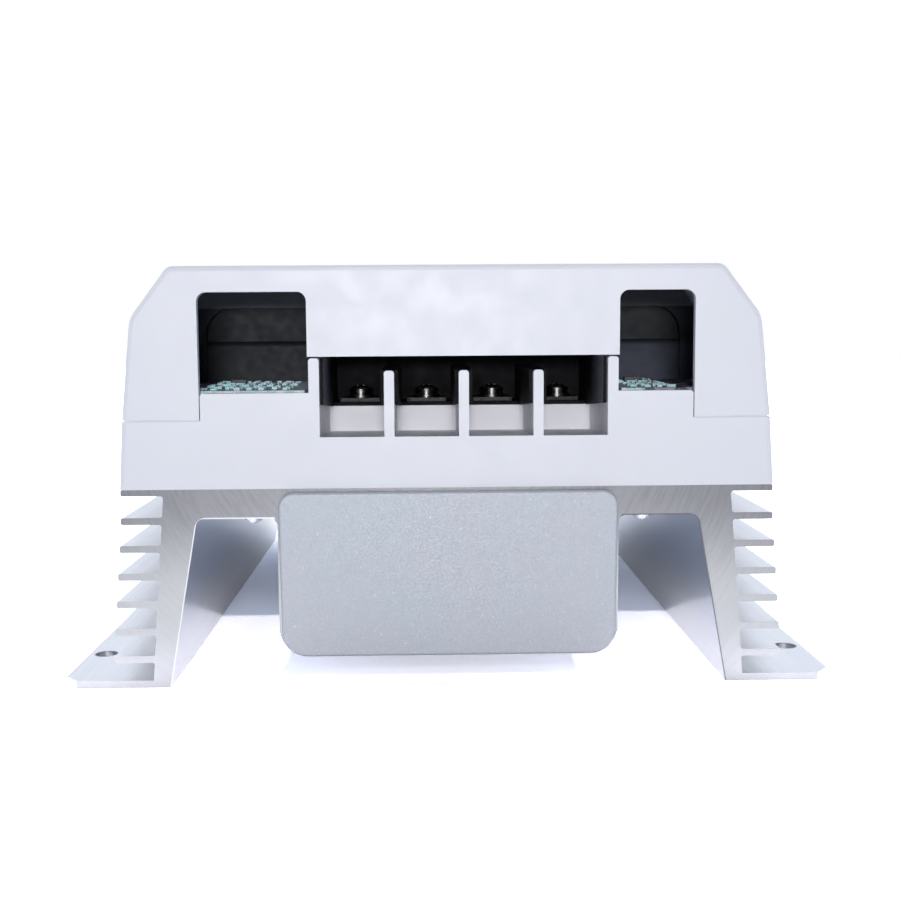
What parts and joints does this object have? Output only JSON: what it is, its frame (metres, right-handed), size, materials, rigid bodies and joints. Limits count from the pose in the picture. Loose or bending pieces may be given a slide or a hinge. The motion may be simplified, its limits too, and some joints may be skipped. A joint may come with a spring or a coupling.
{
  "type": "solar charge controller",
  "caption": "Solar charge controller: finned aluminium heat sink with mounting flanges, white two-part housing and screw terminals in open wiring bays at one end.",
  "frame": {"origin": "middle of the footprint, on the mounting face of the flanges", "axes": "+X across the unit to the right as seen from the wiring end, +Y from the wiring end to the far end, +Z from the mounting face up through the cover"},
  "size_m": [0.2346, 0.2602, 0.1264],
  "materials": {
    "extrusion": "matt extruded aluminium, saw-cut ends",
    "end_plate": "bead-blasted, satin",
    "housing": "fine moulded texture, cool white",
    "black_moulding": "black moulded",
    "terminal_metal": "dark nickel plate",
    "dark_moulding": "dark grey moulded",
    "board": "pale green solder mask",
    "brass_post": "turned brass",
    "zinc_screw": "zinc plated",
    "core": "sintered, coated",
    "copper": "enamelled copper wire",
    "rubber": "black rubber",
    "silicone": "pale blue silicone",
    "epoxy": "moulded epoxy",
    "capacitor_sleeve": "dark blue sleeve",
    "light_lens": "clear moulded"
  },
  "bodies": {
    "root": {"heat_sink": "extrusion", "front_chamber_cover": "end_plate", "rear_chamber_cover": "end_plate", "lower_frame": "housing", "top_cover": "housing", "terminal_block": "black_moulding", "terminal_bar_1": "terminal_metal", "terminal_bar_2": "terminal_metal", "terminal_bar_3": "terminal_metal", "terminal_bar_4": "terminal_metal", "terminal_nuts": "terminal_metal", "flat_washers": "terminal_metal", "spring_washers": "terminal_metal", "terminal_screws": "terminal_metal", "inner_wall": "dark_moulding", "circuit_board": "board", "board_posts": "brass_post", "board_screws": "zinc_screw", "inductor_core_1": "core", "inductor_core_2": "core", "inductor_core_3": "core", "inductor_winding_1": "copper", "inductor_winding_2": "copper", "inductor_winding_3": "copper", "lead_grommets": "rubber", "thermal_pad_left": "silicone", "thermal_pad_right": "silicone", "transistor_1": "epoxy", "transistor_2": "epoxy", "transistor_3": "epoxy", "transistor_4": "epoxy", "transistor_5": "epoxy", "transistor_6": "epoxy", "transistor_screws": "zinc_screw", "capacitor_1": "capacitor_sleeve", "capacitor_2": "capacitor_sleeve", "capacitor_3": "capacitor_sleeve", "capacitor_4": "capacitor_sleeve", "capacitor_5": "capacitor_sleeve", "capacitor_6": "capacitor_sleeve", "indicator_lights": "light_lens", "light_pipes": "light_lens", "frame_screws": "zinc_screw", "cover_screws": "zinc_screw"}
  },
  "joints": []
}
